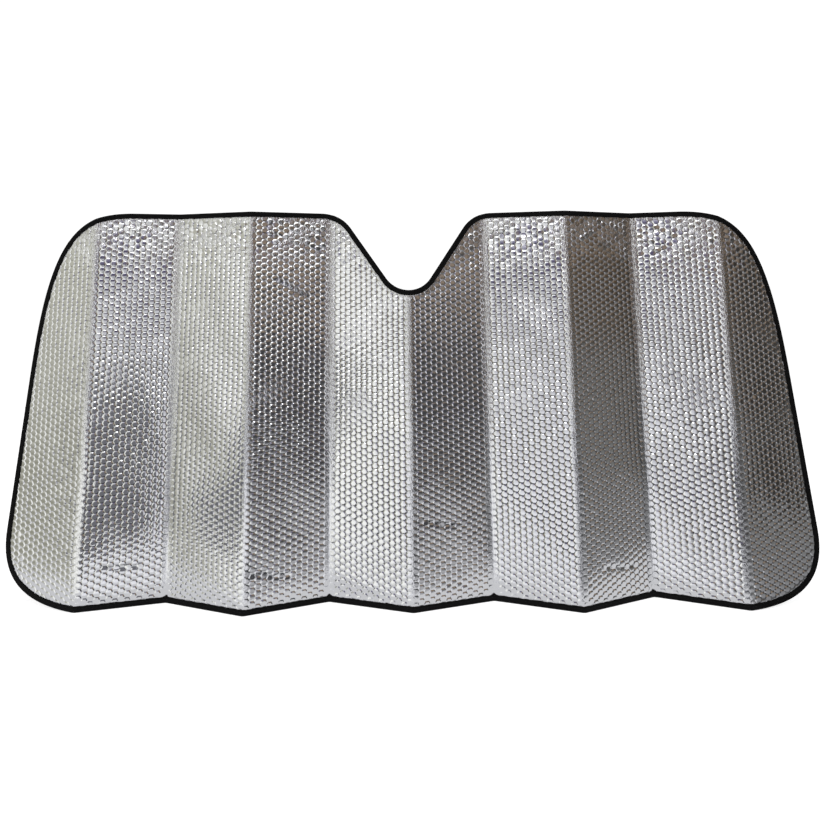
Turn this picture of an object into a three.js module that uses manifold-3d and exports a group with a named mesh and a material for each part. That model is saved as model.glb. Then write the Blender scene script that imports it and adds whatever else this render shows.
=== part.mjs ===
// Folding windscreen sunshade: a sheet of aluminised bubble foil with nine crushed creases,
// a black tape folded round its whole rim, and the two threads of the seam through the tape.
// Millimetres, +Z up. The shade stands on its lower edge in a shallow zigzag, front towards -Y.
// Every piece is shaped flat, in u (along the sheet), v (up) and w (out of the front face),
// and is then folded along the plan line of the zigzag.

import * as THREE from "three";
import { mergeVertices } from "three/addons/utils/BufferGeometryUtils.js";
import Module from "manifold-3d";

const wasm = await Module();
wasm.setup();

// Flat pattern of the whole shade, measured to the outer edge of the tape
const height = 600;
const panelWidth = 130;
const lowerCornerRun = 135;
const lowerCornerRise = 105;
const upperCornerRun = 165;
const upperCornerDrop = 265;
const sideLean = 23;
const cornerFullness = 0.7;

// Notch for the mirror's foot, at the middle of the upper edge
const notchHalfWidth = 144;
const notchDepth = 126;
const notchFloorRadius = 45;
const notchShoulderRadius = 60;

// Turn of each panel from the line of the shade in degrees, left to right, plus is away from the front
const panelTurns = [-13, 11, -15.5, 16, -13, 13.5, -14, 18, -16, 10];
const creaseBand = 12;

// Bubble foil: its full thickness over the bubbles, and where it is crushed at creases and rim
const foilThickness = 4;
const crushedThickness = 1.2;
const padMargin = 2;

// Edge tape, folded to a U round the crushed rim
const tapeThickness = 0.8;
const tapeFaceWidth = 8.5;
const tapeNoseRound = 1;
const tapeClearance = 0.3;

// Seam threads, laid on the two faces of the tape
const seamInset = 6;
const threadWidth = 0.5;
const threadThickness = 0.4;
const threadClearance = 0.3;

// Smoothness of curves and folds
const cornerSteps = 12;
const notchSteps = 7;
const creaseFacets = 3;
const edgeFacets = 1;

// Sizes that follow
const halfWidth = (panelTurns.length * panelWidth) / 2;
const grooveThickness = crushedThickness + 2 * tapeClearance;
const bindingThickness = grooveThickness + 2 * tapeThickness;
const padRise = (foilThickness - crushedThickness) / 2;

const point = (u, v) => new THREE.Vector2(u, v);

// Plan of the zigzag

// The plan line as straight runs: each flat panel, and the short facets of each crease between
function planRuns() {
  const runs = [];
  const last = panelTurns.length - 1;
  panelTurns.forEach((turn, i) => {
    const bands = i === 0 || i === last ? 0.5 : 1;
    runs.push({ length: panelWidth - bands * creaseBand, turn });
    if (i === last) return;
    const step = (panelTurns[i + 1] - turn) / creaseFacets;
    for (let k = 0; k < creaseFacets; k++) {
      runs.push({ length: creaseBand / creaseFacets, turn: turn + (k + 0.5) * step });
    }
  });
  return runs;
}

// Knots of the plan line: place along the sheet, place in plan, and the mitred front normal
function planKnots() {
  const runs = planRuns().map((run) => ({ length: run.length, turn: THREE.MathUtils.degToRad(run.turn) }));
  const knots = [];
  let u = -halfWidth;
  let x = 0;
  let y = 0;
  for (let i = 0; i <= runs.length; i++) {
    const before = runs[Math.max(i - 1, 0)].turn;
    const after = runs[Math.min(i, runs.length - 1)].turn;
    const mean = (before + after) / 2;
    const mitre = 1 / Math.cos((after - before) / 2);
    knots.push({ u, x, y, nx: mitre * Math.sin(mean), ny: -mitre * Math.cos(mean) });
    if (i < runs.length) {
      u += runs[i].length;
      x += runs[i].length * Math.cos(after);
      y += runs[i].length * Math.sin(after);
    }
  }
  return knots;
}

const knots = planKnots();

// Outline of the flat shade

// Slope of the notch's flank, tangent to its floor arc and its shoulder arc
function flankSlope() {
  const radii = notchFloorRadius + notchShoulderRadius;
  const rise = notchDepth - radii;
  return Math.asin(radii / Math.hypot(notchHalfWidth, rise)) + Math.atan2(rise, notchHalfWidth);
}

function lowerCorner(side) {
  const start = point(halfWidth - lowerCornerRun, 0);
  const end = point(halfWidth, lowerCornerRise);
  return new THREE.CubicBezierCurve(
    start,
    point(start.x + cornerFullness * lowerCornerRun, 0),
    end.clone().addScaledVector(side, -cornerFullness * lowerCornerRise),
    end,
  ).getPoints(cornerSteps);
}

function upperCorner(side) {
  const start = point(halfWidth - sideLean, height - upperCornerDrop);
  const end = point(start.x - upperCornerRun, height);
  return new THREE.CubicBezierCurve(
    start,
    start.clone().addScaledVector(side, cornerFullness * upperCornerDrop),
    point(end.x + cornerFullness * upperCornerRun, height),
    end,
  ).getPoints(cornerSteps);
}

function notchFlank() {
  const slope = flankSlope();
  const up = Math.PI / 2;
  const shoulder = new THREE.EllipseCurve(
    notchHalfWidth, height - notchShoulderRadius, notchShoulderRadius, notchShoulderRadius, up, up + slope,
  );
  const floor = new THREE.EllipseCurve(
    0, height - notchDepth + notchFloorRadius, notchFloorRadius, notchFloorRadius, slope - up, -up, true,
  );
  return [...shoulder.getPoints(notchSteps), ...floor.getPoints(notchSteps)];
}

// Points on the level edge from one end to the other, wherever a fold line crosses it
function foldPoints(start, end) {
  const between = knots.filter((knot) => (knot.u - start.x) * (knot.u - end.x) < 0);
  const points = between.map((knot) => point(knot.u, start.y));
  return start.x < end.x ? points : points.reverse();
}

// Counter-clockwise outline, from the left end of the lower edge round the right half and back
function shadeOutline() {
  const side = point(-sideLean, height - upperCornerDrop - lowerCornerRise).normalize();
  const lower = lowerCorner(side);
  const upper = upperCorner(side);
  const flank = notchFlank();
  const corner = [...lower, ...upper, ...foldPoints(upper.at(-1), flank[0]), ...flank];
  const mirrored = corner.slice(0, -1).map((p) => point(-p.x, p.y)).reverse();
  return [...corner, ...mirrored, ...foldPoints(mirrored.at(-1), lower[0])];
}

// The same outline moved inwards by a distance, each corner along its mitre
function inset(outline, distance) {
  const count = outline.length;
  return outline.map((p, i) => {
    const before = p.clone().sub(outline[(i + count - 1) % count]).normalize();
    const after = outline[(i + 1) % count].clone().sub(p).normalize();
    const inward = point(-before.y - after.y, before.x + after.x);
    return p.clone().addScaledVector(inward, (2 * distance) / inward.lengthSq());
  });
}

// Slabs of sheet, cut at the fold lines and folded

// Point where an edge meets the line u = cut, the same whichever way the edge is read
function crossing(p, q, cut) {
  const [a, b] = p[0] < q[0] ? [p, q] : [q, p];
  const t = (cut - a[0]) / (b[0] - a[0]);
  return [cut, a[1] + t * (b[1] - a[1]), a[2] + t * (b[2] - a[2])];
}

// The part of a face on one side of the line u = cut
function clipped(face, cut, side) {
  return face.flatMap((p, i) => {
    const q = face[(i + 1) % face.length];
    const kept = side * (p[0] - cut) >= 0 ? [p] : [];
    return (p[0] - cut) * (q[0] - cut) < 0 ? [...kept, crossing(p, q, cut)] : kept;
  });
}

// A face as the strips between the fold lines that cross it
function strips(face) {
  const pieces = [];
  let rest = face;
  for (const { u } of knots.slice(1, -1)) {
    if (!rest.some((p) => p[0] < u) || !rest.some((p) => p[0] > u)) continue;
    pieces.push(clipped(rest, u, -1));
    rest = clipped(rest, u, 1);
  }
  return [...pieces, rest];
}

// Front or back of a slab as triangles, strip by strip
function capTriangles(loop, isFront) {
  return strips(loop).flatMap((strip) => {
    const corners = THREE.ShapeUtils.triangulateShape(strip.map((p) => point(p[0], p[1])), []);
    return corners.map(([i, j, k]) => (isFront ? [strip[i], strip[j], strip[k]] : [strip[i], strip[k], strip[j]]));
  });
}

// Band of wall between one loop and the next one above it
function wallTriangles(lower, upper) {
  return lower.flatMap((p, i) => {
    const j = (i + 1) % lower.length;
    const faces = [...strips([p, lower[j], upper[j]]), ...strips([p, upper[j], upper[i]])];
    return faces.flatMap((face) => face.slice(2).map((q, k) => [face[0], face[k + 1], q]));
  });
}

// Folded place of a flat point
function folded([u, v, w]) {
  const next = knots.findIndex((knot) => knot.u >= u);
  const i = next < 0 ? knots.length - 1 : Math.max(next, 1);
  const a = knots[i - 1];
  const b = knots[i];
  const t = (u - a.u) / (b.u - a.u);
  const mix = (p, q) => p + t * (q - p);
  return [mix(a.x, b.x) + w * mix(a.nx, b.nx), mix(a.y, b.y) + w * mix(a.ny, b.ny), v];
}

// A folded slab over an outline, of even thickness about a middle plane, with its edges rounded over
function slab(outline, thickness, round = 0, middle = 0) {
  const straight = thickness / 2 - round;
  const turns = round > 0 ? edgeFacets : 0;
  const profile = [];
  for (let k = 0; k <= turns; k++) {
    const angle = turns > 0 ? (k / turns) * (Math.PI / 2) : 0;
    profile.push([round * (1 - Math.cos(angle)), straight + round * Math.sin(angle)]);
  }
  const levels = [...profile.map(([depth, w]) => [depth, -w]).reverse(), ...profile];
  const loops = levels.map(([depth, w]) => inset(outline, depth).map((p) => [p.x, p.y, middle + w]));
  const walls = loops.slice(1).flatMap((loop, i) => wallTriangles(loops[i], loop));
  const triangles = [...walls, ...capTriangles(loops[0], false), ...capTriangles(loops.at(-1), true)];
  const geometry = new THREE.BufferGeometry();
  geometry.setAttribute("position", new THREE.Float32BufferAttribute(triangles.flat().flatMap(folded), 3));
  const merged = mergeVertices(geometry, 1e-4);
  return new wasm.Manifold(new wasm.Mesh({
    numProp: 3,
    vertProperties: new Float32Array(merged.attributes.position.array),
    triVerts: new Uint32Array(merged.index.array),
  }));
}

// The pieces

function foilSheet(rim) {
  const bubbles = slab(inset(rim, tapeFaceWidth + padMargin), foilThickness, padRise);
  const reach = creaseBand / 2;
  let sheet = slab(inset(rim, tapeThickness + tapeClearance), crushedThickness);
  for (let i = 0; i < panelTurns.length; i++) {
    const start = -halfWidth + i * panelWidth + reach;
    const end = start + panelWidth - creaseBand;
    const panel = [point(start, -reach), point(end, -reach), point(end, height + reach), point(start, height + reach)];
    sheet = sheet.add(bubbles.intersect(slab(panel, foilThickness, padRise)));
  }
  return sheet;
}

function edgeBinding(rim) {
  const through = bindingThickness + 2 * tapeThickness;
  return slab(rim, bindingThickness, tapeNoseRound)
    .subtract(slab(inset(rim, tapeFaceWidth), through))
    .subtract(slab(inset(rim, tapeThickness), grooveThickness));
}

// One thread of the seam, on the front (side 1) or the back (side -1) of the tape
function seamThread(rim, side) {
  const middle = side * (bindingThickness / 2 + threadClearance + threadThickness / 2);
  const outer = slab(inset(rim, seamInset - threadWidth / 2), threadThickness, 0, middle);
  return outer.subtract(slab(inset(rim, seamInset + threadWidth / 2), 2 * threadThickness, 0, middle));
}

// The finished object

const materials = {
  foil: new THREE.MeshStandardMaterial({ color: 0xc8cacb, metalness: 0.95, roughness: 0.28 }),
  tape: new THREE.MeshStandardMaterial({ color: 0x1b1b1d, metalness: 0, roughness: 0.92 }),
  thread: new THREE.MeshStandardMaterial({ color: 0x141416, metalness: 0, roughness: 0.7 }),
};

function addMesh(group, name, solid, material) {
  const { vertProperties, triVerts } = solid.getMesh();
  const geometry = new THREE.BufferGeometry();
  geometry.setAttribute("position", new THREE.BufferAttribute(vertProperties, 3));
  geometry.setIndex(new THREE.BufferAttribute(triVerts, 1));
  geometry.computeVertexNormals();
  const mesh = new THREE.Mesh(geometry, material);
  mesh.name = name;
  group.add(mesh);
}

const rim = shadeOutline();
const sunshade = new THREE.Group();
addMesh(sunshade, "foil_sheet", foilSheet(rim), materials.foil);
addMesh(sunshade, "edge_binding", edgeBinding(rim), materials.tape);
addMesh(sunshade, "seam_thread_front", seamThread(rim, 1), materials.thread);
addMesh(sunshade, "seam_thread_back", seamThread(rim, -1), materials.thread);

// Origin on the floor, under the middle of the folded shade
const middle = new THREE.Box3().setFromObject(sunshade).getCenter(new THREE.Vector3());
sunshade.position.set(-middle.x, -middle.y, 0);

export default sunshade;
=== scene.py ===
import math

import bpy
import numpy as np
from mathutils import Matrix, Vector


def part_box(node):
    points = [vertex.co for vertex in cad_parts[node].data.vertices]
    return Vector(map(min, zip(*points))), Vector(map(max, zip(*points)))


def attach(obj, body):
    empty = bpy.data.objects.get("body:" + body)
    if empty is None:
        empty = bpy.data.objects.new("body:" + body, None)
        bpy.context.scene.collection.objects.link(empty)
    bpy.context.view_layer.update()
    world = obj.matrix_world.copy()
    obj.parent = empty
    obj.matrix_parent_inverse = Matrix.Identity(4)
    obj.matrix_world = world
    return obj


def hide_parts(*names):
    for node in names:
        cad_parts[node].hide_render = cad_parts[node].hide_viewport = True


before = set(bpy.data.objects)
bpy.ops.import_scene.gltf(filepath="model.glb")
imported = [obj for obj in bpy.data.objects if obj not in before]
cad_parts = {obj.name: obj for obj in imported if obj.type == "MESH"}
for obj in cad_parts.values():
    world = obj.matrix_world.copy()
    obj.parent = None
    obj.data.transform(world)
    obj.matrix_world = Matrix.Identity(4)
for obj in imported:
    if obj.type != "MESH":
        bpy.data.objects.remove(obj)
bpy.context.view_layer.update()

MM = 0.001

# A folding windscreen sunshade of silver bubble foil, standing half unfolded. Every piece is shaped
# flat, in u (along the sheet), v (up it) and w (out of its front), and is then folded along the
# plan line of the zigzag.

# Flat pattern of the shade, to the outer edge of its tape
HEIGHT = 600 * MM
PANEL_WIDTH = 130 * MM
LOWER_CORNER = (135 * MM, 105 * MM)
UPPER_CORNER = (165 * MM, 265 * MM)
SIDE_LEAN = 23 * MM
CORNER_FULLNESS = 0.7
NOTCH_HALF_WIDTH = 144 * MM
NOTCH_DEPTH = 126 * MM
NOTCH_FLOOR_RADIUS = 45 * MM
NOTCH_SHOULDER_RADIUS = 60 * MM
LOWER_CORNER_STEPS = 40
UPPER_CORNER_STEPS = 60
NOTCH_STEPS = 24
RIM_STEP = 1 * MM

# Folds: turn of each panel from the line of the shade in degrees, left to right, plus is away from
# the front. The creases that point forward are tighter: their crushed band has FORWARD_CREASE_SHARE
# of the others' width.
PANEL_TURNS = (-13, 11, -15.5, 16, -13, 13.5, -14, 18, -16, 10)
CRUSHED_BAND = 12 * MM
FORWARD_CREASE_SHARE = 0.6
BEND_WIDTH = 5 * MM
BEND_FACETS = 3
HALF_WIDTH = len(PANEL_TURNS) * PANEL_WIDTH / 2

# Bubble foil: columns of bubbles along the creases, every other column half a pitch up. The halves
# are heights from the middle of the sheet to one face: where it is crushed, between the bubbles,
# and on a bubble's crown.
COLUMNS_PER_PANEL = 15
COLUMN_PITCH = PANEL_WIDTH / COLUMNS_PER_PANEL
BUBBLE_PITCH = 9.5 * MM
CRUSHED_HALF = 0.6 * MM
VALLEY_HALF = 0.65 * MM
CROWN_HALF = 2.0 * MM
SHOULDER_SHARE = 0.68
BUBBLE_EDGE_INSET = 1.5 * MM
FILM_INSET = 1.1 * MM
INNER_FACE = 0.05 * MM
INNER_CUT = 20 * MM
INNER_CUTS_PER_PANEL = 6

# In the flat lattice a height is a share of a bubble's, and these tell its border and inner face
BORDER_MARK = -1
INNER_MARK = -2
BEHIND_BORDER = -1.2
ON_INNER_FACE = -1.5
FLAT_NORMAL = 0.9

# Vertices closer than these become one: where bubbles meet, where the skirt meets them, and on the tape
WELD = 0.05 * MM
SKIRT_WELD = 0.001 * MM
TAPE_WELD = 0.01 * MM

# How full the bubbles are: by distance from a crease and from the rim, and slack in patches
FILL_FROM_CREASE = (4 * MM, 8.5 * MM)
FILL_FROM_RIM = (8.5 * MM, 12.5 * MM)
SLACK_SHARE = 0.25
SLACK_RANGE = (-1.6, 0.2)
SLACK_LENGTHS = (40 * MM, 160 * MM)
UNEVEN_SHARE = 0.12

# Each bubble's height and its tips along and up the sheet are drawn at random, in a table with room
# for every column and row. They tip more where the film is loose, near the upper edge.
BUBBLE_TABLE = (3, 160, 80)
TIP = 0.02
LOOSE_TIP = 0.16
LOOSE_ZONE = (110 * MM, 20 * MM)

# The crumpled film near the upper edge, and the creases' wear, which fades towards the lower edge
CRUMPLED_ZONE = (120 * MM, 30 * MM)
CRUMPLED_SHARE = 0.6
CRUMPLED_RANGE = (-0.9, 0.6)
CRUMPLED_LENGTHS = (30 * MM, 110 * MM)
LEAST_WEAR = 0.3
WEAR_ZONE = (0.2 * HEIGHT, 0.7 * HEIGHT)

# The slow bow of the whole sheet
BOW_HEIGHT = 0.4 * MM
BOW_LENGTHS = (90 * MM, 220 * MM)
BOW_FROM_RIM = (5 * MM, 40 * MM)

# Tape folded to a U round the rim, and the stitches through it
TAPE_FACE_WIDTH = 8.5 * MM
TAPE_THICKNESS = 0.8 * MM
TAPE_HALF = 1.7 * MM
TAPE_RING = 2.5 * MM
TAPE_ROWS = 14
TAPE_CREASE_ANGLE = 50
TAPE_WANDER = 0.13 * MM
TAPE_WANDER_LENGTHS = (47 * MM, 29 * MM, 17 * MM, 11 * MM)
PUCKER_RISE = 3.2 * MM
PUCKER_SWELL = 0.35 * MM
PUCKER_WIDTH = 2.6 * MM
SEAM_INSET = 6 * MM
STITCH_PITCH = 5 * MM
STITCH_LENGTH = 3.9 * MM
THREAD_WIDTH = 0.5 * MM
# How far a stitch's middle lies above the tape: the thread sinks into it by a third of its width
THREAD_RISE = THREAD_WIDTH / 6

SEED = 11


# Plan of the zigzag

def plan_knots():
    """Knots of the plan line, as rows: place along the sheet, plan x and y, mitred front normal."""
    runs = []
    last = len(PANEL_TURNS) - 1
    for i, turn in enumerate(PANEL_TURNS):
        bends = 0.5 if i in (0, last) else 1
        runs.append((PANEL_WIDTH - bends * BEND_WIDTH, turn))
        if i == last:
            break
        step = (PANEL_TURNS[i + 1] - turn) / BEND_FACETS
        for k in range(BEND_FACETS):
            runs.append((BEND_WIDTH / BEND_FACETS, turn + (k + 0.5) * step))
    turns = [math.radians(turn) for _, turn in runs]
    u, x, y = -HALF_WIDTH, 0.0, 0.0
    rows = []
    for i in range(len(runs) + 1):
        before, after = turns[max(i - 1, 0)], turns[min(i, len(runs) - 1)]
        mean, mitre = (before + after) / 2, 1 / math.cos((after - before) / 2)
        rows.append((u, x, y, mitre * math.sin(mean), -mitre * math.cos(mean)))
        if i < len(runs):
            u += runs[i][0]
            x += runs[i][0] * math.cos(after)
            y += runs[i][0] * math.sin(after)
    return np.array(rows)


KNOTS = plan_knots()
FOLDS = -HALF_WIDTH + PANEL_WIDTH * np.arange(1, len(PANEL_TURNS))
BACK_FOLDS = FOLDS[1::2]


def folded(flat):
    """Flat points (along the sheet, up the sheet, out of its front) at their place on the zigzag."""
    u, v, w = flat[:, 0], flat[:, 1], flat[:, 2]
    i = np.clip(np.searchsorted(KNOTS[:, 0], u) - 1, 0, len(KNOTS) - 2)
    t = (u - KNOTS[i, 0]) / (KNOTS[i + 1, 0] - KNOTS[i, 0])
    at = KNOTS[i] + t[:, None] * (KNOTS[i + 1] - KNOTS[i])
    return np.stack([at[:, 1] + w * at[:, 3], at[:, 2] + w * at[:, 4], v], 1)


# Rim of the flat shade

def bezier(p0, p1, p2, p3, steps):
    """Points along a cubic curve."""
    t = np.linspace(0, 1, steps + 1)[:, None]
    s = 1 - t
    return s**3 * p0 + 3 * s * s * t * p1 + 3 * s * t * t * p2 + t**3 * p3


def arc(centre, radius, start, end, steps):
    """Points along an arc of a circle."""
    angles = np.linspace(start, end, steps + 1)
    return np.array(centre) + radius * np.stack([np.cos(angles), np.sin(angles)], 1)


def rim_points():
    """Counter-clockwise outline, from the middle of the lower edge round to it again."""
    side = np.array([-SIDE_LEAN, HEIGHT - UPPER_CORNER[1] - LOWER_CORNER[1]])
    side /= np.linalg.norm(side)
    low_start = np.array([HALF_WIDTH - LOWER_CORNER[0], 0])
    low_end = np.array([HALF_WIDTH, LOWER_CORNER[1]])
    lower = bezier(low_start, low_start + [CORNER_FULLNESS * LOWER_CORNER[0], 0],
                   low_end - side * CORNER_FULLNESS * LOWER_CORNER[1], low_end, LOWER_CORNER_STEPS)
    up_start = np.array([HALF_WIDTH - SIDE_LEAN, HEIGHT - UPPER_CORNER[1]])
    up_end = np.array([up_start[0] - UPPER_CORNER[0], HEIGHT])
    upper = bezier(up_start, up_start + side * CORNER_FULLNESS * UPPER_CORNER[1],
                   up_end + [CORNER_FULLNESS * UPPER_CORNER[0], 0], up_end, UPPER_CORNER_STEPS)
    radii = NOTCH_FLOOR_RADIUS + NOTCH_SHOULDER_RADIUS
    rise = NOTCH_DEPTH - radii
    slope = math.asin(radii / math.hypot(NOTCH_HALF_WIDTH, rise)) + math.atan2(rise, NOTCH_HALF_WIDTH)
    up = math.pi / 2
    shoulder = arc((NOTCH_HALF_WIDTH, HEIGHT - NOTCH_SHOULDER_RADIUS), NOTCH_SHOULDER_RADIUS,
                   up, up + slope, NOTCH_STEPS)
    floor = arc((0, HEIGHT - NOTCH_DEPTH + NOTCH_FLOOR_RADIUS), NOTCH_FLOOR_RADIUS,
                slope - up, -up, NOTCH_STEPS)
    right = np.vstack([lower, upper, shoulder, floor])
    left = right[:-1][::-1] * [-1, 1]
    start = np.zeros((1, 2))
    return np.vstack([start, right, left, start])


def even_rim(step):
    """The rim as evenly spaced points, with their places along it and their inward normals."""
    line = rim_points()
    gaps = np.linalg.norm(np.diff(line, axis=0), axis=1)
    along = np.concatenate([[0], np.cumsum(gaps)])
    s = np.linspace(0, along[-1], round(along[-1] / step) + 1)
    points = np.stack([np.interp(s, along, line[:, k]) for k in (0, 1)], 1)
    ahead = np.vstack([points[1:], points[1:2]])
    behind = np.vstack([points[-2:-1], points[:-1]])
    tangents = ahead - behind
    tangents /= np.linalg.norm(tangents, axis=1)[:, None]
    return s, points, np.stack([-tangents[:, 1], tangents[:, 0]], 1)


RIM_S, RIM, RIM_INWARD = even_rim(RIM_STEP)
RIM_LENGTH = RIM_S[-1]


def laid_on_rim(strip):
    """Points of a straight strip (along the rim, inwards, out of the front) at their flat place."""
    s = strip[:, 0] % RIM_LENGTH
    at = np.stack([np.interp(s, RIM_S, RIM[:, k]) for k in (0, 1)], 1)
    inward = np.stack([np.interp(s, RIM_S, RIM_INWARD[:, k]) for k in (0, 1)], 1)
    return np.column_stack([at + strip[:, 1:2] * inward, strip[:, 2]])


def rim_depth(points):
    """Distance inwards from the rim (minus outside) and the nearest rim point's number, for flat
    points. It tries every fourth rim point and then those around the best, block by block."""
    rim, inward = RIM[:-1], RIM_INWARD[:-1]
    stride, block = 4, 2000
    depth = np.empty(len(points))
    nearest = np.empty(len(points), int)
    for start in range(0, len(points), block):
        part = points[start:start + block]
        coarse = ((part[:, None, :] - rim[None, ::stride, :]) ** 2).sum(2).argmin(1) * stride
        numbers = (coarse[:, None] + np.arange(-stride, stride + 1)) % len(rim)
        gaps = ((part[:, None, :] - rim[numbers]) ** 2).sum(2)
        best = numbers[np.arange(len(part)), gaps.argmin(1)]
        depth[start:start + block] = ((part - rim[best]) * inward[best]).sum(1)
        nearest[start:start + block] = best
    return depth, nearest


# Mesh helpers

def places(obj):
    """The object's vertices, as rows of x, y and z."""
    co = np.empty(len(obj.data.vertices) * 3)
    obj.data.vertices.foreach_get("co", co)
    return co.reshape(-1, 3)


def put(obj, co):
    """Moves the object's vertices to the given rows."""
    obj.data.vertices.foreach_set("co", np.ascontiguousarray(co, dtype=np.float32).ravel())
    obj.data.update()


def only(obj):
    """Selects this object alone and makes it the active one."""
    bpy.ops.object.select_all(action="DESELECT")
    obj.select_set(True)
    bpy.context.view_layer.objects.active = obj


def mode(name):
    """Changes to edit mode or object mode."""
    bpy.ops.object.mode_set(mode=name)


def pick_faces(obj, wanted):
    """Selects the faces whose flags in wanted are set, and nothing else, from object mode."""
    mesh = obj.data
    for group in (mesh.vertices, mesh.edges, mesh.polygons):
        group.foreach_set("select", np.zeros(len(group), bool))
    mesh.polygons.foreach_set("select", np.asarray(wanted, bool))
    mesh.update()


def faces(obj, key):
    """The centre or the normal of each face, as rows."""
    values = np.empty(len(obj.data.polygons) * 3)
    obj.data.polygons.foreach_get(key, values)
    return values.reshape(-1, 3)


def smoothstep(low, high, x):
    """0 up to low, 1 from high on, and a smooth change between them."""
    t = np.clip((x - low) / (high - low), 0, 1)
    return t * t * (3 - 2 * t)


def add_map(obj, name, points):
    """A UV map with a given place for each vertex."""
    layer = obj.data.uv_layers.get(name) or obj.data.uv_layers.new(name=name)
    corners = np.empty(len(obj.data.loops), int)
    obj.data.loops.foreach_get("vertex_index", corners)
    layer.data.foreach_set("uv", points[corners].astype(np.float32).ravel())


def add_value(obj, name, values):
    """A named number for each vertex, which materials read."""
    layer = obj.data.attributes.new(name, "FLOAT", "POINT")
    layer.data.foreach_set("value", values.astype(np.float32))


def repeat(obj, count, step):
    """Repeats the object's mesh at even steps."""
    only(obj)
    copies = obj.modifiers.new("copies", "ARRAY")
    copies.count = count
    copies.use_relative_offset = False
    copies.use_constant_offset = True
    copies.constant_offset_displace = step
    bpy.ops.object.modifier_apply(modifier="copies")


def finish_surface(obj):
    """Turns all faces outwards and shades them smooth."""
    only(obj)
    mode("EDIT")
    bpy.ops.mesh.select_all(action="SELECT")
    bpy.ops.mesh.normals_make_consistent(inside=False)
    mode("OBJECT")
    bpy.ops.object.shade_smooth()


# Bubble foil

def bubble(column):
    """One bubble of unit height: a hexagon of film with steep sides and a low, crisp-edged crown."""
    bpy.ops.mesh.primitive_circle_add(vertices=6, radius=1, fill_type="NGON",
                                      rotation=(0, 0, math.pi / 2))
    cell = bpy.context.object
    bpy.ops.object.transform_apply(location=True, rotation=True, scale=True)
    mode("EDIT")
    bpy.ops.mesh.select_all(action="SELECT")
    bpy.ops.transform.resize(value=(COLUMN_PITCH * 2 / 3, BUBBLE_PITCH / math.sqrt(3), 1))
    bpy.ops.mesh.mark_sharp()
    bpy.ops.mesh.inset(thickness=BUBBLE_EDGE_INSET)
    bpy.ops.mesh.mark_sharp()
    bpy.ops.transform.translate(value=(0, 0, SHOULDER_SHARE))
    bpy.ops.mesh.poke()
    mode("OBJECT")
    co = places(cell)
    crown = np.hypot(co[:, 0], co[:, 1]) < WELD
    co[crown, 2] = 1
    put(cell, co + [column * COLUMN_PITCH, column * BUBBLE_PITCH / 2, 0])
    return cell


def bubble_centre(points):
    """Column, row and centre of the bubble that each flat point belongs to."""
    columns = len(PANEL_TURNS) * COLUMNS_PER_PANEL
    column = np.clip(np.round((points[:, 0] + HALF_WIDTH) / COLUMN_PITCH - 0.5), 0, columns - 1)
    u = (column + 0.5) * COLUMN_PITCH - HALF_WIDTH
    shift = np.where(column % 2 == 1, BUBBLE_PITCH / 2, 0) - BUBBLE_PITCH / 2
    row = np.round((points[:, 1] - shift) / BUBBLE_PITCH)
    return column.astype(int), row.astype(int), u, row * BUBBLE_PITCH + shift


def bubble_field():
    """The bubbles of the whole sheet as one flat lattice, cut to the rim, its border on the edge."""
    bpy.ops.object.select_all(action="DESELECT")
    pair = [bubble(0), bubble(1)]
    only(pair[0])
    pair[1].select_set(True)
    bpy.ops.object.join()
    film = bpy.context.object
    repeat(film, math.ceil(HEIGHT / BUBBLE_PITCH) + 2, (0, BUBBLE_PITCH, 0))
    repeat(film, len(PANEL_TURNS) * COLUMNS_PER_PANEL // 2, (2 * COLUMN_PITCH, 0, 0))
    put(film, places(film) + [COLUMN_PITCH / 2 - HALF_WIDTH, -BUBBLE_PITCH / 2, 0])
    _, _, cell_u, cell_v = bubble_centre(faces(film, "center"))
    depth, _ = rim_depth(np.stack([cell_u, cell_v], 1))
    pick_faces(film, depth < BUBBLE_PITCH / 3)
    only(film)
    mode("EDIT")
    bpy.ops.mesh.select_mode(type="FACE")
    bpy.ops.mesh.delete(type="FACE")
    bpy.ops.mesh.select_mode(type="VERT")
    bpy.ops.mesh.select_all(action="SELECT")
    bpy.ops.mesh.remove_doubles(threshold=WELD)
    bpy.ops.mesh.select_all(action="DESELECT")
    bpy.ops.mesh.select_non_manifold()
    mode("OBJECT")
    border = np.empty(len(film.data.vertices), bool)
    film.data.vertices.foreach_get("select", border)
    co = places(film)
    _, nearest = rim_depth(co[border, :2])
    co[border, :2] = RIM[nearest] + FILM_INSET * RIM_INWARD[nearest]
    co[border, 2] = BORDER_MARK
    put(film, co)
    return film


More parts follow.
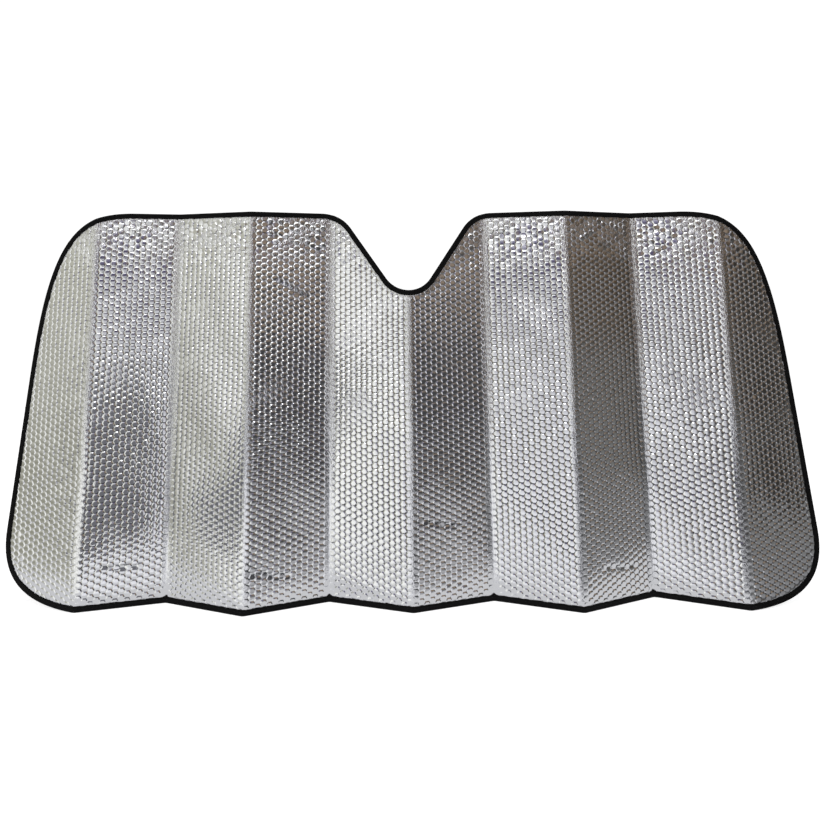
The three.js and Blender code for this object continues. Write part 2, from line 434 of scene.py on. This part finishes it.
def close_behind(film):
    """Closes the flat lattice with a rim wall and an inner face, cut so that it can fold and bow."""
    only(film)
    mode("EDIT")
    bpy.ops.mesh.select_mode(type="EDGE")
    bpy.ops.mesh.select_all(action="DESELECT")
    bpy.ops.mesh.select_non_manifold()
    down = (0, 0, INNER_MARK - BORDER_MARK)
    bpy.ops.mesh.extrude_region_move(TRANSFORM_OT_translate={"value": down})
    bpy.ops.mesh.edge_face_add()
    mode("OBJECT")
    pick_faces(film, faces(film, "center")[:, 2] < BEHIND_BORDER)
    mode("EDIT")
    bpy.ops.mesh.select_mode(type="FACE")
    bpy.ops.mesh.separate(type="SELECTED")
    mode("OBJECT")
    skirt = next(o for o in bpy.context.selected_objects if o != film)
    between = np.arange(1, INNER_CUTS_PER_PANEL * len(PANEL_TURNS))
    between = -HALF_WIDTH + PANEL_WIDTH / INNER_CUTS_PER_PANEL * between
    upright = [*KNOTS[1:-1, 0], *between[fold_distance(between) > CRUSHED_BAND]]
    level = np.arange(INNER_CUT, HEIGHT, INNER_CUT)
    only(skirt)
    for cuts, across in ((upright, (1, 0, 0)), (level, (0, 1, 0))):
        for at in cuts:
            pick_faces(skirt, faces(skirt, "normal")[:, 2] ** 2 > FLAT_NORMAL)
            mode("EDIT")
            bpy.ops.mesh.bisect(plane_co=at * Vector(across), plane_no=across)
            mode("OBJECT")
    only(film)
    skirt.select_set(True)
    bpy.ops.object.join()
    mode("EDIT")
    bpy.ops.mesh.select_mode(type="VERT")
    bpy.ops.mesh.select_all(action="SELECT")
    bpy.ops.mesh.remove_doubles(threshold=SKIRT_WELD)
    mode("OBJECT")
    return film


def fold_distance(u):
    """Distance to the nearest crease, counted for more at the tighter creases, which point forward."""
    share = np.where(np.isin(FOLDS, BACK_FOLDS), 1, FORWARD_CREASE_SHARE)
    return (np.abs(u[:, None] - FOLDS) / share).min(1)


def waves(u, v, random, count, shortest, longest):
    """A smooth seeded field, mostly between -1 and 1."""
    total = np.zeros(len(u))
    for _ in range(count):
        length = random.uniform(shortest, longest)
        heading = random.uniform(0, math.pi)
        phase = random.uniform(0, 2 * math.pi)
        ahead = u * math.cos(heading) + v * math.sin(heading)
        total += np.sin(2 * math.pi * ahead / length + phase)
    return total / math.sqrt(count)


def sheet_wave(u, v, depth):
    """How far the whole sheet bows out of its panels."""
    random = np.random.default_rng(SEED)
    bow = waves(u, v, random, 6, *BOW_LENGTHS)
    return BOW_HEIGHT * bow * smoothstep(*BOW_FROM_RIM, depth)


# Kinks that show: panel number, start and end across it (0 left, 1 right), their heights, depth
KINKS = (
    (2, 0.25, 0.72, 62 * MM, 56 * MM, 1.4 * MM),
    (4, 0.03, 0.56, 57 * MM, 47 * MM, 1.4 * MM),
    (8, 0.3, 0.78, 58 * MM, 50 * MM, 1.4 * MM),
    (6, 0.07, 0.55, 130 * MM, 115 * MM, 1.4 * MM),
    (4, 0.3, 0.75, 492 * MM, 462 * MM, 1.4 * MM),
    (1, 0.2, 0.24, 104 * MM, 52 * MM, 1.2 * MM),
    (10, 0.1, 0.5, 300 * MM, 318 * MM, 0.9 * MM),
)

# Small kinks near the upper edge, at random: how many, length, distance from the edge, spread of
# their lean in radians, depth in mm
TOP_KINKS = 90
TOP_KINK_LENGTH = (12 * MM, 34 * MM)
TOP_KINK_ZONE = (10 * MM, 70 * MM)
TOP_KINK_LEAN = 0.5
TOP_KINK_DEPTH = (0.5, 1.3)

# All kinks: half width, how far they bow, and how unevenly deep they are
KINK_WIDTH = 2.6 * MM
KINK_BOW = 2 * MM
KINK_RIPPLE_SHARE = 0.25
KINK_RIPPLE_LENGTHS = (8 * MM, 20 * MM)


def kink_lines(random):
    """Start and end points and depths of every kink in the film."""
    rows = []
    for panel, start, end, low, high, depth in KINKS:
        left = -HALF_WIDTH + (panel - 1) * PANEL_WIDTH
        rows.append((left + start * PANEL_WIDTH, low, left + end * PANEL_WIDTH, high, depth))
    for _ in range(TOP_KINKS):
        u = random.uniform(-HALF_WIDTH, HALF_WIDTH)
        v = HEIGHT - random.uniform(*TOP_KINK_ZONE)
        half = random.uniform(*TOP_KINK_LENGTH) / 2
        lean = random.normal(0, TOP_KINK_LEAN)
        du, dv = half * math.cos(lean), half * math.sin(lean)
        rows.append((u - du, v - dv, u + du, v + dv, random.uniform(*TOP_KINK_DEPTH) * MM))
    return rows


def kinked(u, v, random):
    """How deep the kinks press the film in."""
    total = np.zeros(len(u))
    ripple = waves(u, v, random, 4, *KINK_RIPPLE_LENGTHS)
    ripple = 1 - KINK_RIPPLE_SHARE + KINK_RIPPLE_SHARE * ripple
    for u0, v0, u1, v1, depth in kink_lines(random):
        du, dv = u1 - u0, v1 - v0
        t = ((u - u0) * du + (v - v0) * dv) / (du * du + dv * dv)
        bow = KINK_BOW * np.sin(np.pi * np.clip(t, 0, 1))
        off = (v - v0 - t * dv) + bow if abs(du) > abs(dv) else u - u0 - t * du
        inside = smoothstep(-0.05, 0.1, t) * smoothstep(1.05, 0.9, t)
        pressed = depth * inside * np.exp(-(off / KINK_WIDTH) ** 2) * ripple
        total = np.maximum(total, pressed)
    return total


def film_heights(co, side):
    """Height of each film vertex over the middle of the sheet, on one side, and how puffed it is."""
    random = np.random.default_rng(SEED + side)
    u, v = co[:, 0], co[:, 1]
    dome = np.clip(co[:, 2], 0, 1)
    depth, _ = rim_depth(co[:, :2])
    column, row, cell_u, cell_v = bubble_centre(co)
    table = random.uniform(-1, 1, BUBBLE_TABLE)
    height, tilt_u, tilt_v = table[:, column, row]
    puffed = smoothstep(*FILL_FROM_CREASE, fold_distance(u)) * smoothstep(*FILL_FROM_RIM, depth)
    slack = smoothstep(*SLACK_RANGE, waves(u, v, random, 8, *SLACK_LENGTHS))
    puffed = puffed * (1 - SLACK_SHARE + SLACK_SHARE * slack)
    loose = TIP + LOOSE_TIP * smoothstep(HEIGHT - LOOSE_ZONE[0], HEIGHT - LOOSE_ZONE[1], v)
    tilt = (tilt_u * (u - cell_u) + tilt_v * (v - cell_v)) * loose * (dome > 0)
    uneven = 1 - UNEVEN_SHARE + UNEVEN_SHARE * height
    rise = (VALLEY_HALF - CRUSHED_HALF) + (CROWN_HALF - VALLEY_HALF) * dome * uneven
    lift = np.clip(puffed * (rise + tilt) - kinked(u, v, random), -CRUSHED_HALF / 2, None)
    return np.minimum(CRUSHED_HALF + lift, CROWN_HALF), puffed


def film_side(lattice, name, side):
    """One face of the foil: side 1 is the front, -1 the back."""
    only(lattice)
    bpy.ops.object.duplicate()
    film = bpy.context.object
    film.name = name
    co = places(film)
    depth, _ = rim_depth(co[:, :2])
    height, puffed = film_heights(co, side)
    height = np.where(co[:, 2] < ON_INNER_FACE, INNER_FACE, height)
    w = side * height + sheet_wave(co[:, 0], co[:, 1], depth)
    add_map(film, "UVMap", co[:, :2])
    random = np.random.default_rng(SEED + 5)
    patches = waves(co[:, 0], co[:, 1], random, 6, *CRUMPLED_LENGTHS)
    crumpled = smoothstep(HEIGHT - CRUMPLED_ZONE[0], HEIGHT - CRUMPLED_ZONE[1], co[:, 1])
    crumpled *= CRUMPLED_SHARE * smoothstep(*CRUMPLED_RANGE, patches)
    worn = LEAST_WEAR + (1 - LEAST_WEAR) * smoothstep(*WEAR_ZONE, co[:, 1])
    add_value(film, "crushed", np.maximum((1 - puffed) * worn, crumpled))
    put(film, folded(np.column_stack([co[:, :2], w])))
    finish_surface(film)
    return film


# Tape and stitches

def tape_section(across):
    """Depth and height of the tape's outer face, by distance from the middle of its flat width."""
    nose = math.pi / 2 * TAPE_HALF
    far = np.abs(across)
    angle = np.clip(far / TAPE_HALF, 0, math.pi / 2)
    depth = np.where(far < nose, TAPE_HALF * (1 - np.cos(angle)), TAPE_HALF + far - nose)
    height = np.sign(across) * TAPE_HALF * np.where(far < nose, np.sin(angle), 1)
    return depth, height


def edge_tape():
    """The woven strip, folded over the whole rim, pinched where the lower edge folds back."""
    width = 2 * (TAPE_FACE_WIDTH - TAPE_HALF + math.pi / 2 * TAPE_HALF)
    rings = round(RIM_LENGTH / TAPE_RING)
    bpy.ops.mesh.primitive_grid_add(x_subdivisions=rings, y_subdivisions=TAPE_ROWS, size=1)
    tape = bpy.context.object
    tape.name = "edge_tape"
    co = places(tape)
    s, across = (co[:, 0] + 0.5) * RIM_LENGTH, co[:, 1] * width
    add_map(tape, "UVMap", np.column_stack([s, across]))
    depth, height = tape_section(across)
    random = np.random.default_rng(SEED)
    share = np.clip(depth / TAPE_FACE_WIDTH, 0, 1)
    edge = sum(np.sin(2 * math.pi * round(RIM_LENGTH / length) * s / RIM_LENGTH
                      + random.uniform(0, 6)) for length in TAPE_WANDER_LENGTHS)
    depth = depth + TAPE_WANDER * edge * np.sign(across) * share
    flat = laid_on_rim(np.column_stack([s, depth, height]))
    low = flat[:, 1] < 2 * TAPE_FACE_WIDTH
    for fold in BACK_FOLDS:
        pinch = np.exp(-((flat[:, 0] - fold) / PUCKER_WIDTH) ** 2) * share**3
        flat[low, 1] += PUCKER_RISE * pinch[low]
        flat[low, 2] += PUCKER_SWELL * (np.sign(flat[:, 2]) * pinch)[low]
    put(tape, folded(flat))
    only(tape)
    mode("EDIT")
    bpy.ops.mesh.select_all(action="SELECT")
    bpy.ops.mesh.remove_doubles(threshold=TAPE_WELD)
    bpy.ops.mesh.normals_make_consistent(inside=False)
    mode("OBJECT")
    wall = tape.modifiers.new("wall", "SOLIDIFY")
    wall.thickness = TAPE_THICKNESS
    wall.offset = -1
    bpy.ops.object.modifier_apply(modifier="wall")
    bpy.ops.object.shade_smooth_by_angle(angle=math.radians(TAPE_CREASE_ANGLE))
    return tape


def stitches(name, side):
    """Lockstitches all round the tape, lying on one face of it."""
    count = round(RIM_LENGTH / STITCH_PITCH)
    bpy.ops.mesh.primitive_uv_sphere_add(segments=6, ring_count=4, radius=THREAD_WIDTH / 2)
    thread = bpy.context.object
    thread.name = name
    co = places(thread)[:, [2, 1, 0]]
    end = np.sign(np.round(co[:, 0] / MM, 3))
    co[:, 0] += end * (STITCH_LENGTH - THREAD_WIDTH) / 2 + STITCH_LENGTH / 2
    put(thread, co)
    repeat(thread, count, (RIM_LENGTH / count, 0, 0))
    co = places(thread)
    height = TAPE_HALF + co[:, 2] + THREAD_RISE
    strip = np.column_stack([co[:, 0], SEAM_INSET + co[:, 1], side * height])
    put(thread, folded(laid_on_rim(strip)))
    finish_surface(thread)
    return thread


# Materials: sizes of their patterns, which are the real ones but for the weave
CRINKLE_SIZE = 4 * MM
CREASE_STREAK = (2.4 * MM, 7 * MM)
WEAVE_PITCH = 1 * MM
TWIST_PITCH = 0.6 * MM
# A wave texture of scale 1 repeats at this distance
WAVE_PERIOD = 2 * math.pi / 20


def linear(hex_colour):
    """sRGB hex as linear RGBA."""
    parts = [int(hex_colour[i:i + 2], 16) / 255 for i in (1, 3, 5)]
    return (*[p / 12.92 if p <= 0.04045 else ((p + 0.055) / 1.055) ** 2.4 for p in parts], 1)


def new_material(name):
    """A material with an empty node tree."""
    material = bpy.data.materials.new(name)
    material.use_nodes = True
    material.node_tree.nodes.clear()
    return material


def node(tree, kind, links=None, inputs=None, **settings):
    """Adds a node: settings are its properties, inputs its values, links the outputs that feed it."""
    made = tree.nodes.new(kind)
    for key, value in settings.items():
        setattr(made, key, value)
    for key, value in (inputs or {}).items():
        made.inputs[key].default_value = value
    for key, source in (links or {}).items():
        tree.links.new(source, made.inputs[key])
    return made


def metallised_film():
    """Polyester film with a vacuum-deposited aluminium coat, laminated: a slightly hazy mirror with
    fine crinkles, and upright creases in the crushed bands."""
    material = new_material("metallised polyester film")
    tree = material.node_tree
    spot = node(tree, "ShaderNodeTexCoord").outputs["Object"]
    sheet = node(tree, "ShaderNodeUVMap", uv_map="UVMap").outputs[0]
    crushed = node(tree, "ShaderNodeAttribute", attribute_name="crushed").outputs["Fac"]
    crinkle = node(tree, "ShaderNodeTexNoise", {"Vector": spot},
                   {"Scale": 1 / CRINKLE_SIZE, "Detail": 2, "Roughness": 0.6})
    bump = node(tree, "ShaderNodeBump", {"Height": crinkle.outputs["Fac"]},
                {"Strength": 0.22, "Distance": 0.4 * MM})
    stretched = node(tree, "ShaderNodeMapping", {"Vector": sheet},
                     {"Scale": (1 / CREASE_STREAK[0], 1 / CREASE_STREAK[1], 1)})
    streaks = node(tree, "ShaderNodeTexNoise", {"Vector": stretched.outputs[0]},
                   {"Scale": 1, "Detail": 2, "Roughness": 0.7})
    ridges = node(tree, "ShaderNodeMath", {0: streaks.outputs["Fac"], 1: crushed}, operation="MULTIPLY")
    creased = node(tree, "ShaderNodeBump",
                   {"Height": ridges.outputs[0], "Normal": bump.outputs["Normal"]},
                   {"Strength": 1, "Distance": 2 * MM})
    shader = node(tree, "ShaderNodeBsdfPrincipled", {"Normal": creased.outputs["Normal"]},
                  {"Base Color": linear("#cfd0d2"), "Metallic": 1, "Roughness": 0.1})
    node(tree, "ShaderNodeOutputMaterial", {"Surface": shader.outputs["BSDF"]})
    return material


def woven_tape():
    """Black polyester binding, woven: matt, its threads catching a little light. The weave, 0.5 mm
    on the real tape, is drawn at 1 mm so that it shows."""
    material = new_material("woven polyester tape")
    tree = material.node_tree
    sheet = node(tree, "ShaderNodeUVMap", uv_map="UVMap").outputs[0]
    threads = [node(tree, "ShaderNodeTexWave", {"Vector": sheet},
                    {"Scale": WAVE_PERIOD / WEAVE_PITCH}, bands_direction=way).outputs["Fac"]
               for way in ("X", "Y")]
    weave = node(tree, "ShaderNodeMath", {0: threads[0], 1: threads[1]}, operation="MULTIPLY")
    bump = node(tree, "ShaderNodeBump", {"Height": weave.outputs[0]},
                {"Strength": 0.5, "Distance": 0.2 * MM})
    shader = node(tree, "ShaderNodeBsdfPrincipled", {"Normal": bump.outputs["Normal"]},
                  {"Base Color": linear("#060607"), "Roughness": 0.9, "Specular IOR Level": 0.15})
    node(tree, "ShaderNodeOutputMaterial", {"Surface": shader.outputs["BSDF"]})
    return material


def sewing_thread():
    """Black polyester thread: twisted fibre, a touch glossier than the tape under it."""
    material = new_material("polyester thread")
    tree = material.node_tree
    spot = node(tree, "ShaderNodeTexCoord").outputs["Object"]
    twist = node(tree, "ShaderNodeTexNoise", {"Vector": spot}, {"Scale": 1 / TWIST_PITCH, "Detail": 1})
    bump = node(tree, "ShaderNodeBump", {"Height": twist.outputs["Fac"]},
                {"Strength": 0.4, "Distance": 0.1 * MM})
    shader = node(tree, "ShaderNodeBsdfPrincipled", {"Normal": bump.outputs["Normal"]},
                  {"Base Color": linear("#0a0a0b"), "Roughness": 0.6, "Specular IOR Level": 0.2})
    node(tree, "ShaderNodeOutputMaterial", {"Surface": shader.outputs["BSDF"]})
    return material


# Studio

def seen_share(tree):
    """1 for rays from the camera, from gloss and through glass, which see the plain pale background."""
    path = node(tree, "ShaderNodeLightPath")
    seen = node(tree, "ShaderNodeMath",
                {0: path.outputs["Is Camera Ray"], 1: path.outputs["Is Glossy Ray"]}, operation="ADD")
    return node(tree, "ShaderNodeMath", {0: seen.outputs[0], 1: path.outputs["Is Transmission Ray"]},
                operation="ADD", use_clamp=True).outputs[0]


# Softboxes: name, place, width and height, power in watts
SOFTBOXES = (
    ("top softbox", (0, -0.7, 2.4), (2.0, 1.4), 26),
    ("front softbox", (-0.6, -2.3, 1.9), (1.0, 0.3), 4),
)
SOFTBOX_AIM = (0, 0, 0.3)

# The world's light on the object and where it is seen; the floor's size, colour and glow where seen
WORLD_LIGHT = 0.5
WORLD_SEEN = 1.1
FLOOR_SIZE = 60
FLOOR_COLOUR = (0.8, 0.8, 0.8, 1)
FLOOR_GLOW = 0.62

# Walls of the light tent that the film mirrors, as tones by elevation in degrees, from the table
# below through the floor beyond it and the wall itself to the ceiling. They start from how light
# each panel is in the photograph, and were then set.
TENT_FAR_RIGHT = ((-70, "#3f3f3f"), (-46, "#4a4a4a"), (-28, "#747476"), (-18, "#636362"),
                  (-10, "#5c5c5a"), (-2, "#3b3732"), (4, "#44382a"), (14, "#5e5246"),
                  (34, "#606060"), (60, "#747474"))
TENT_RIGHT = ((-70, "#1a1a1a"), (-46, "#2c2c2e"), (-36, "#7a7a7c"), (-28, "#9c9c9e"),
              (-23, "#6a6a6c"), (-17, "#363638"), (-5, "#3a3a3c"), (4, "#7a6c5e"),
              (26, "#675e57"), (50, "#808084"))
TENT_AHEAD = ((-66, "#1c1c1e"), (-48, "#28282a"), (-38, "#a4a4a6"), (-27, "#d2d2d6"),
              (-20, "#c4c4c8"), (-12, "#b8b8bc"), (-1, "#a6a6aa"), (4, "#3a3548"),
              (11, "#545068"), (24, "#92909e"), (46, "#f0f0f4"))
TENT_LEFT = ((-66, "#2a2a28"), (-48, "#40403e"), (-38, "#bcbcb8"), (-28, "#dcdcd8"),
             (-10, "#dadad6"), (4, "#d4d4d0"), (18, "#bcbcb8"), (34, "#dcdcd8"), (48, "#ebebe8"))
TENT_FAR_LEFT = ((-70, "#7d7c72"), (-50, "#83827a"), (-38, "#8a897f"), (-28, "#95948a"),
                 (-18, "#7c7b6f"), (-8, "#95948a"), (8, "#a09f93"), (22, "#a09f93"),
                 (46, "#aaa99f"))
# Azimuths in degrees at which the wall ahead starts to give way to each other wall, and has done so
TENT_WALLS = ((-14, -26, TENT_LEFT), (-38, -57, TENT_FAR_LEFT),
              (1, 15, TENT_RIGHT), (42, 58, TENT_FAR_RIGHT))
TENT_LIGHT = 2
TENT_RADIUS = 5.0
TENT_HEIGHT = 0.3
TENT_SEGMENTS = (48, 24)


def wall_tones(tree, level, stops):
    """Tones of one wall by elevation; level is the sine of the elevation, moved to 0 to 1."""
    ramp = node(tree, "ShaderNodeValToRGB", {"Fac": level})
    band = ramp.color_ramp
    while len(band.elements) < len(stops):
        band.elements.new(1)
    for element, (elevation, tone) in zip(band.elements, stops):
        element.position = (math.sin(math.radians(elevation)) + 1) / 2
        element.color = linear(tone)
    return ramp.outputs["Color"]


def mixed(tree, share, first, second):
    """Two colours, mixed by a share."""
    mix = node(tree, "ShaderNodeMix", data_type="RGBA")
    for name, source in (("Factor_Float", share), ("A_Color", first), ("B_Color", second)):
        tree.links.new(source, next(i for i in mix.inputs if i.identifier == name))
    return next(o for o in mix.outputs if o.identifier == "Result_Color")


def glowing(obj, name, tones, strength):
    """Gives the object a light of its own that only reflections see."""
    paint = new_material(name)
    tree = paint.node_tree
    glow = node(tree, "ShaderNodeEmission", inputs={"Strength": strength})
    node(tree, "ShaderNodeOutputMaterial", {"Surface": glow.outputs[0]})
    tones(tree, glow.inputs["Color"])
    obj.data.materials.append(paint)
    for rays in ("camera", "diffuse", "shadow", "transmission"):
        setattr(obj, "visible_" + rays, False)


def tent_tones(tree, socket):
    """The five walls, blended round the tent by azimuth; the back half mirrors the front."""
    spot = node(tree, "ShaderNodeTexCoord").outputs["Object"]
    axes = node(tree, "ShaderNodeSeparateXYZ", {0: spot})
    ahead = node(tree, "ShaderNodeMath", {0: axes.outputs["Y"]}, operation="ABSOLUTE")
    azimuth = node(tree, "ShaderNodeMath", {0: axes.outputs["X"], 1: ahead.outputs[0]},
                   operation="ARCTAN2")
    level = node(tree, "ShaderNodeMapRange", {"Value": axes.outputs["Z"]},
                 {"From Min": -TENT_RADIUS, "From Max": TENT_RADIUS}).outputs[0]
    tones = wall_tones(tree, level, TENT_AHEAD)
    for start, end, stops in TENT_WALLS:
        share = node(tree, "ShaderNodeMapRange", {"Value": azimuth.outputs[0]},
                     {"From Min": math.radians(start), "From Max": math.radians(end)},
                     interpolation_type="SMOOTHSTEP")
        tones = mixed(tree, share.outputs[0], tones, wall_tones(tree, level, stops))
    tree.links.new(tones, socket)


def light_tent():
    """The soft walls round the table."""
    segments, rings = TENT_SEGMENTS
    bpy.ops.mesh.primitive_uv_sphere_add(segments=segments, ring_count=rings, radius=TENT_RADIUS)
    tent = bpy.context.object
    tent.name = "light_tent"
    tent.location = (0, 0, TENT_HEIGHT)
    glowing(tent, "light tent", tent_tones, TENT_LIGHT)


# Cards that the film mirrors: name, middle, width and height, turn about x in degrees, tone
CARDS = (
    ("table_strip", (-0.115, -0.0125, 0.001), (1.27, 0.085), 0, "#f2f2f4"),
    ("dark_stand", (-0.47, -0.4, 0.13), (0.18, 0.477), -33, "#808086"),
    ("side_stand", (0.82, -0.17, 0.34), (0.17, 0.6), 90, "#3f3c39"),
)


def cards():
    """Plain cards near the shade."""
    for name, place, size, turn, tone in CARDS:
        bpy.ops.mesh.primitive_plane_add(size=1)
        card = bpy.context.object
        card.name = name
        card.scale = (*size, 1)
        card.rotation_euler.x = math.radians(turn)
        card.location = place

        def plain(tree, socket, tone=tone):
            socket.default_value = linear(tone)

        glowing(card, name.replace("_", " "), plain, 1)


def studio():
    """The world, the pale floor and the softboxes."""
    scene = bpy.context.scene
    scene.view_settings.view_transform = "Standard"
    world = bpy.data.worlds.new("studio")
    scene.world = world
    world.use_nodes = True
    tree = world.node_tree
    tree.nodes.clear()
    strength = node(tree, "ShaderNodeMapRange", {"Value": seen_share(tree)},
                    {"To Min": WORLD_LIGHT, "To Max": WORLD_SEEN})
    back = node(tree, "ShaderNodeBackground", {"Strength": strength.outputs[0]},
                {"Color": (1, 1, 1, 1)})
    node(tree, "ShaderNodeOutputWorld", {"Surface": back.outputs[0]})

    bpy.ops.mesh.primitive_plane_add(size=FLOOR_SIZE)
    floor = bpy.context.object
    floor.name = "floor"
    paint = new_material("pale floor")
    tree = paint.node_tree
    diffuse = node(tree, "ShaderNodeBsdfDiffuse", inputs={"Color": FLOOR_COLOUR})
    lift = node(tree, "ShaderNodeMath", {0: seen_share(tree)}, {1: FLOOR_GLOW}, operation="MULTIPLY")
    glow = node(tree, "ShaderNodeEmission", {"Strength": lift.outputs[0]})
    both = node(tree, "ShaderNodeAddShader", {0: diffuse.outputs[0], 1: glow.outputs[0]})
    node(tree, "ShaderNodeOutputMaterial", {"Surface": both.outputs[0]})
    floor.data.materials.append(paint)
    floor.visible_glossy = False

    for name, place, size, power in SOFTBOXES:
        light = bpy.data.lights.new(name, "AREA")
        light.shape = "RECTANGLE"
        light.size, light.size_y = size
        light.energy = power
        lamp = bpy.data.objects.new(name, light)
        scene.collection.objects.link(lamp)
        lamp.location = place
        aim = Vector(SOFTBOX_AIM) - Vector(place)
        lamp.rotation_euler = aim.to_track_quat("-Z", "Y").to_euler()


# Camera of the photograph's view: turns in radians, focal length as a share of the picture's width
CAMERA_PLACE = (-67.54 * MM, -876.07 * MM, 491.19 * MM)
CAMERA_PITCH = 0.1205
CAMERA_YAW = 0.0016
CAMERA_ROLL = 0.0043
CAMERA_FOCAL_SHARE = 536.29 / 828
CAMERA_SHIFT = (0.0597, -0.2411)
SENSOR = 36


def camera():
    data = bpy.data.cameras.new("camera")
    data.sensor_width = SENSOR
    data.lens = SENSOR * CAMERA_FOCAL_SHARE
    data.shift_x, data.shift_y = CAMERA_SHIFT
    obj = bpy.data.objects.new("camera", data)
    bpy.context.scene.collection.objects.link(obj)
    bpy.context.scene.camera = obj
    turn = (Matrix.Rotation(CAMERA_YAW, 3, "Z") @ Matrix.Rotation(CAMERA_PITCH, 3, "X")
            @ Matrix.Rotation(CAMERA_ROLL, 3, "Y"))
    look = turn @ Matrix(((1, 0, 0), (0, 0, -1), (0, 1, 0)))
    obj.matrix_world = Matrix.Translation(CAMERA_PLACE) @ look.to_4x4()


# The shade

camera()
lattice = close_behind(bubble_field())
front = film_side(lattice, "front_film", 1)
back = film_side(lattice, "back_film", -1)
bpy.data.objects.remove(lattice)
tape = edge_tape()
front_stitches = stitches("front_stitches", 1)
back_stitches = stitches("back_stitches", -1)

# The zigzag's plan starts at its left end, so every piece moves to where the frame's tape lies
own = places(tape)
low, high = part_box("edge_binding")
offset = (np.array(low) + np.array(high)) / 2 - (own.min(0) + own.max(0)) / 2
offset[2] = 0

film_paint = metallised_film()
tape_paint = woven_tape()
thread_paint = sewing_thread()
for piece, paint, slot, node_name in (
    (front, film_paint, "bubble_foil", "foil_sheet"),
    (back, film_paint, "bubble_foil", "foil_sheet"),
    (tape, tape_paint, "binding_tape", "edge_binding"),
    (front_stitches, thread_paint, "seam_thread", "seam_thread_front"),
    (back_stitches, thread_paint, "seam_thread", "seam_thread_back"),
):
    put(piece, places(piece) + offset)
    piece.data.materials.clear()
    piece.data.materials.append(paint)
    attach(piece, "root")
    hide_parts(node_name)

studio()
light_tent()
cards()
